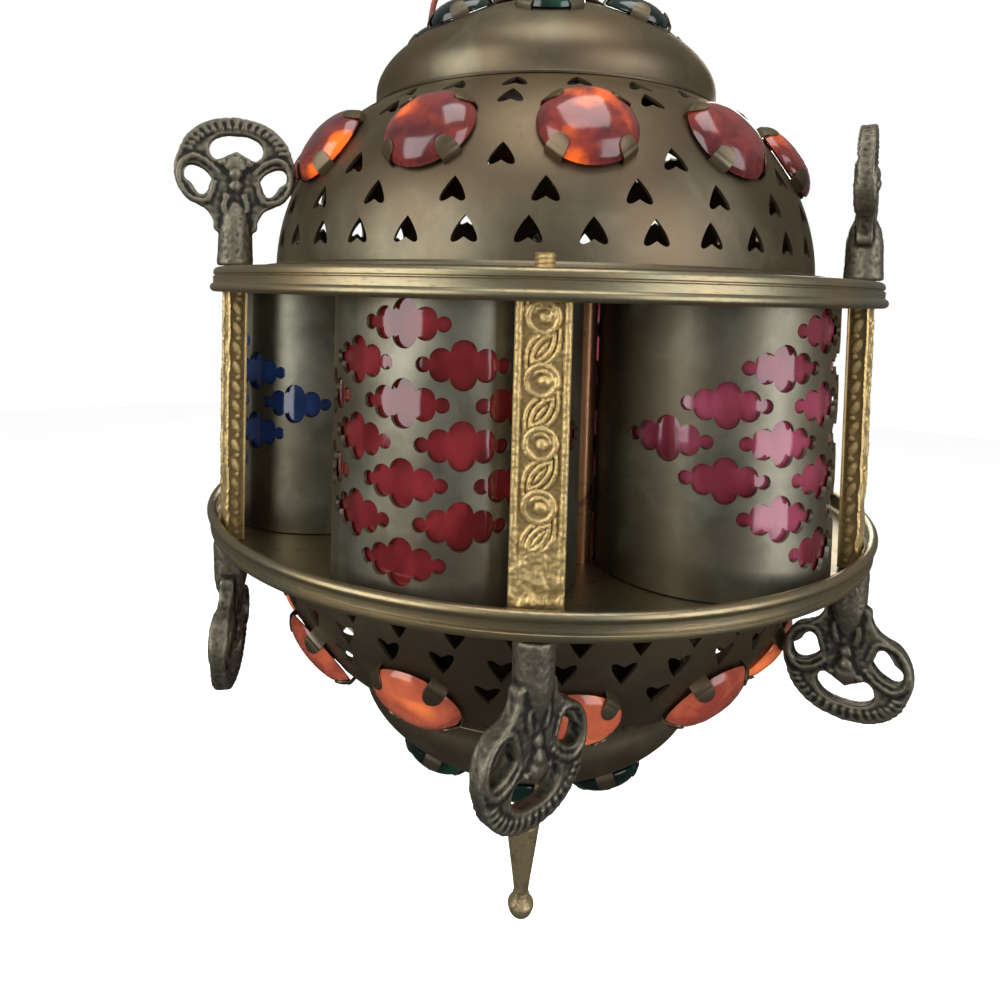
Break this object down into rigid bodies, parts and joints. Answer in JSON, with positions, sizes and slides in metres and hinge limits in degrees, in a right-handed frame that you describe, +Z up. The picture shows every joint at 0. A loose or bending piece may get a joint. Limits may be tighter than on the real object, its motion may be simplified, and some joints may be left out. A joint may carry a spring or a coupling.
{
  "type": "hanging lantern",
  "caption": "Lobed hanging lantern with pierced sheet panels over glass, cast posts between two tray rings, and stepped domes set with glass jewels above and below.",
  "frame": {"origin": "inside top of the hanging ring, where a hook or chain carries it, on the lantern's axis", "axes": "+Z up along the lantern's axis; -Y towards the front of the picture, where one post stands; +X to the right"},
  "size_m": [0.2002, 0.2179, 0.3578],
  "materials": {
    "bronze_sheet": "antiqued dark sheet brass, satin, with a grey-green sheen",
    "ring_brass": "antiqued brass with a bright worn edge",
    "cast_brass": "cast brass, yellow, dark in the recesses",
    "pewter": "dark cast metal, worn brighter on the high points",
    "red_glass": "clear cranberry red, smooth",
    "blue_glass": "clear blue, smooth",
    "amber_glass": "orange-amber cabochon, polished",
    "green_glass": "deep green cabochon, polished",
    "porcelain": "off-white moulded lampholder, semi-gloss",
    "red_lead": "dark red-brown insulation",
    "grey_lead": "grey insulation"
  },
  "bodies": {
    "hanger": {"hanging_ring": "cast_brass"},
    "lantern": {"neck": "bronze_sheet", "upper_tier": "bronze_sheet", "upper_dome": "bronze_sheet", "lower_dome": "bronze_sheet", "lower_tier": "bronze_sheet", "upper_ring": "ring_brass", "lower_ring": "ring_brass", "finial_nut": "cast_brass", "lampholder": "porcelain", "red_lead": "red_lead", "grey_lead": "grey_lead", "post_1": "cast_brass", "post_2": "cast_brass", "post_3": "cast_brass", "post_4": "cast_brass", "post_5": "cast_brass", "post_6": "cast_brass", "panel_1": "bronze_sheet", "panel_2": "bronze_sheet", "panel_3": "bronze_sheet", "panel_4": "bronze_sheet", "panel_5": "bronze_sheet", "panel_6": "bronze_sheet", "glass_liner_1": "red_glass", "glass_liner_2": "red_glass", "glass_liner_3": "blue_glass", "glass_liner_4": "red_glass", "glass_liner_5": "red_glass", "glass_liner_6": "blue_glass", "amber_jewel_1": "amber_glass", "amber_jewel_2": "amber_glass", "amber_jewel_3": "amber_glass", "amber_jewel_4": "amber_glass", "amber_jewel_5": "amber_glass", "amber_jewel_6": "amber_glass", "amber_jewel_7": "amber_glass", "amber_jewel_8": "amber_glass", "amber_jewel_9": "amber_glass", "amber_jewel_10": "amber_glass", "amber_jewel_11": "amber_glass", "amber_jewel_12": "amber_glass", "green_jewel_1": "green_glass", "green_jewel_2": "green_glass", "green_jewel_3": "green_glass", "green_jewel_4": "green_glass", "green_jewel_5": "green_glass", "green_jewel_6": "green_glass", "green_jewel_7": "green_glass", "green_jewel_8": "green_glass"},
    "lower_key_1": {"key_finial_lower_1": "pewter"},
    "lower_key_2": {"key_finial_lower_2": "pewter"},
    "lower_key_3": {"key_finial_lower_3": "pewter"},
    "lower_key_4": {"key_finial_lower_4": "pewter"},
    "lower_key_5": {"key_finial_lower_5": "pewter"},
    "lower_key_6": {"key_finial_lower_6": "pewter"},
    "upper_key_1": {"key_finial_upper_1": "pewter"},
    "upper_key_2": {"key_finial_upper_2": "pewter"},
    "upper_key_3": {"key_finial_upper_3": "pewter"},
    "drop": {"bottom_finial": "cast_brass"}
  },
  "joints": [
    {"name": "lantern_swing", "type": "hinge", "parent": "hanger", "child": "lantern", "pos_m": [0, 0, -0.0283], "axis": [1, 0, 0], "range_deg": [-90, 90]},
    {"name": "lower_key_1_turn", "type": "hinge", "parent": "lantern", "child": "lower_key_1", "pos_m": [0, -0.09515, -0.2144], "axis": [0, 0, 1], "continuous": true},
    {"name": "lower_key_2_turn", "type": "hinge", "parent": "lantern", "child": "lower_key_2", "pos_m": [0.0824, -0.04757, -0.2144], "axis": [0, 0, 1], "continuous": true},
    {"name": "lower_key_3_turn", "type": "hinge", "parent": "lantern", "child": "lower_key_3", "pos_m": [0.0824, 0.04757, -0.2144], "axis": [0, 0, 1], "continuous": true},
    {"name": "lower_key_4_turn", "type": "hinge", "parent": "lantern", "child": "lower_key_4", "pos_m": [0, 0.09515, -0.2144], "axis": [0, 0, 1], "continuous": true},
    {"name": "lower_key_5_turn", "type": "hinge", "parent": "lantern", "child": "lower_key_5", "pos_m": [-0.0824, 0.04757, -0.2144], "axis": [0, 0, 1], "continuous": true},
    {"name": "lower_key_6_turn", "type": "hinge", "parent": "lantern", "child": "lower_key_6", "pos_m": [-0.0824, -0.04757, -0.2144], "axis": [0, 0, 1], "continuous": true},
    {"name": "upper_key_1_turn", "type": "hinge", "parent": "lantern", "child": "upper_key_1", "pos_m": [0.0824, -0.04757, -0.1394], "axis": [0, 0, 1], "continuous": true},
    {"name": "upper_key_2_turn", "type": "hinge", "parent": "lantern", "child": "upper_key_2", "pos_m": [0, 0.09515, -0.1394], "axis": [0, 0, 1], "continuous": true},
    {"name": "upper_key_3_turn", "type": "hinge", "parent": "lantern", "child": "upper_key_3", "pos_m": [-0.0824, -0.04757, -0.1394], "axis": [0, 0, 1], "continuous": true},
    {"name": "bottom_finial_turn", "type": "hinge", "parent": "lantern", "child": "drop", "pos_m": [0, 0, -0.2928], "axis": [0, 0, 1], "continuous": true}
  ]
}
